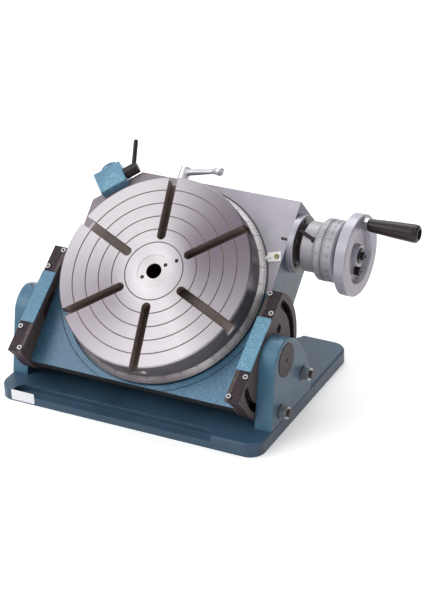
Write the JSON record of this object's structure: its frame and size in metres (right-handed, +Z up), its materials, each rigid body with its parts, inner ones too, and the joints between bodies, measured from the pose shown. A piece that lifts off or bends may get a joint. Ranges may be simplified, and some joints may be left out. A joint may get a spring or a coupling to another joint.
{
  "type": "tilting rotary table",
  "caption": "Machinist's rotary table on a tilting cradle: slotted round table turned by a worm and handwheel, with trunnion cheeks and clamp nuts on a flat base.",
  "frame": {"origin": "centre of the base's underside", "axes": "+X along the trunnion axis towards the handwheel, +Y towards the back, +Z up"},
  "size_m": [0.5913, 0.334, 0.3285],
  "materials": {
    "teal_enamel": "gloss",
    "grey_enamel": "satin",
    "machined_steel": "satin",
    "black_oxide": "satin",
    "bronze": "machined",
    "zinc_steel": "bright",
    "bright_plate": "satin",
    "black_plastic": "gloss"
  },
  "bodies": {
    "base": {"base_plate": "teal_enamel", "cheek_left": "teal_enamel", "cheek_right": "teal_enamel", "cheek_screws": "black_oxide", "trunnion_pin_left": "machined_steel", "trunnion_pin_right": "machined_steel", "pin_set_screws": "black_oxide", "lock_studs_left": "machined_steel", "lock_studs_right": "machined_steel", "lock_washers_left": "zinc_steel", "lock_washers_right": "zinc_steel", "lock_nuts_left": "zinc_steel", "lock_nuts_right": "zinc_steel"},
    "cradle": {"cradle_body": "teal_enamel", "trunnion_disc_left": "black_oxide", "trunnion_disc_right": "black_oxide", "chord_pad_left": "teal_enamel", "chord_pad_right": "teal_enamel", "chord_screws_left": "zinc_steel", "chord_screws_right": "zinc_steel", "disc_screws_left": "black_oxide", "disc_screws_right": "black_oxide", "bottom_cover": "grey_enamel", "cover_screws": "black_oxide", "thrust_ring": "bronze", "table_bush": "bronze", "index_plate": "bright_plate", "index_screw": "zinc_steel", "oil_plug": "zinc_steel", "clamp_block": "teal_enamel", "worm_flange": "grey_enamel", "flange_screws": "black_oxide"},
    "clamp_handle": {"clamp_hub": "black_oxide", "clamp_rod": "black_oxide"},
    "worm_lock": {"lock_lever": "grey_enamel"},
    "table": {"table_disc": "machined_steel", "degree_ring": "machined_steel", "centre_bushing": "machined_steel", "table_set_screw": "black_oxide", "worm_wheel": "bronze", "wheel_screws": "black_oxide", "spindle_nut": "machined_steel"},
    "sleeve": {"eccentric_sleeve": "machined_steel", "worm_bushes": "bronze", "index_collar": "grey_enamel", "peg_lever": "black_oxide"},
    "worm": {"worm_shaft": "machined_steel", "handwheel": "grey_enamel", "handwheel_bolt": "black_oxide", "handwheel_screw": "black_oxide", "grip_stud": "zinc_steel", "grip_nut": "zinc_steel"},
    "dial": {"dial_ring": "grey_enamel"},
    "grip": {"grip": "black_plastic"}
  },
  "joints": [
    {"name": "tilt", "type": "hinge", "parent": "base", "child": "cradle", "pos_m": [0, -0.0648, 0.1142], "axis": [1, 0, 0], "range_deg": [-42.2, 47.8]},
    {"name": "table_turn", "type": "hinge", "parent": "cradle", "child": "table", "pos_m": [0, -0.05281, 0.20876], "axis": [0, -0.6717, 0.7408], "continuous": true},
    {"name": "worm_engage", "type": "hinge", "parent": "cradle", "child": "sleeve", "pos_m": [0, 0.09798, 0.21923], "axis": [1, 0, 0], "range_deg": [-65, 0]},
    {"name": "worm_turn", "type": "hinge", "parent": "sleeve", "child": "worm", "pos_m": [0, 0.09298, 0.21947], "axis": [1, 0, 0], "continuous": true},
    {"name": "dial_turn", "type": "hinge", "parent": "worm", "child": "dial", "pos_m": [0.23, 0.09298, 0.21947], "axis": [1, 0, 0], "continuous": true},
    {"name": "grip_spin", "type": "hinge", "parent": "worm", "child": "grip", "pos_m": [0.3, 0.10453, 0.26648], "axis": [1, 0, 0], "continuous": true},
    {"name": "worm_lock_turn", "type": "hinge", "parent": "cradle", "child": "worm_lock", "pos_m": [-0.046, 0.13249, 0.2688], "axis": [0, 0.7408, 0.6717], "range_deg": [-25, 60]},
    {"name": "clamp_turn", "type": "hinge", "parent": "cradle", "child": "clamp_handle", "pos_m": [-0.12606, 0.09569, 0.27998], "axis": [0.7455, 0.4937, 0.4477], "range_deg": [-40, 50]}
  ],
  "couplings": [
    {"joint": "worm_turn", "follows": "table_turn", "ratio": 90}
  ]
}
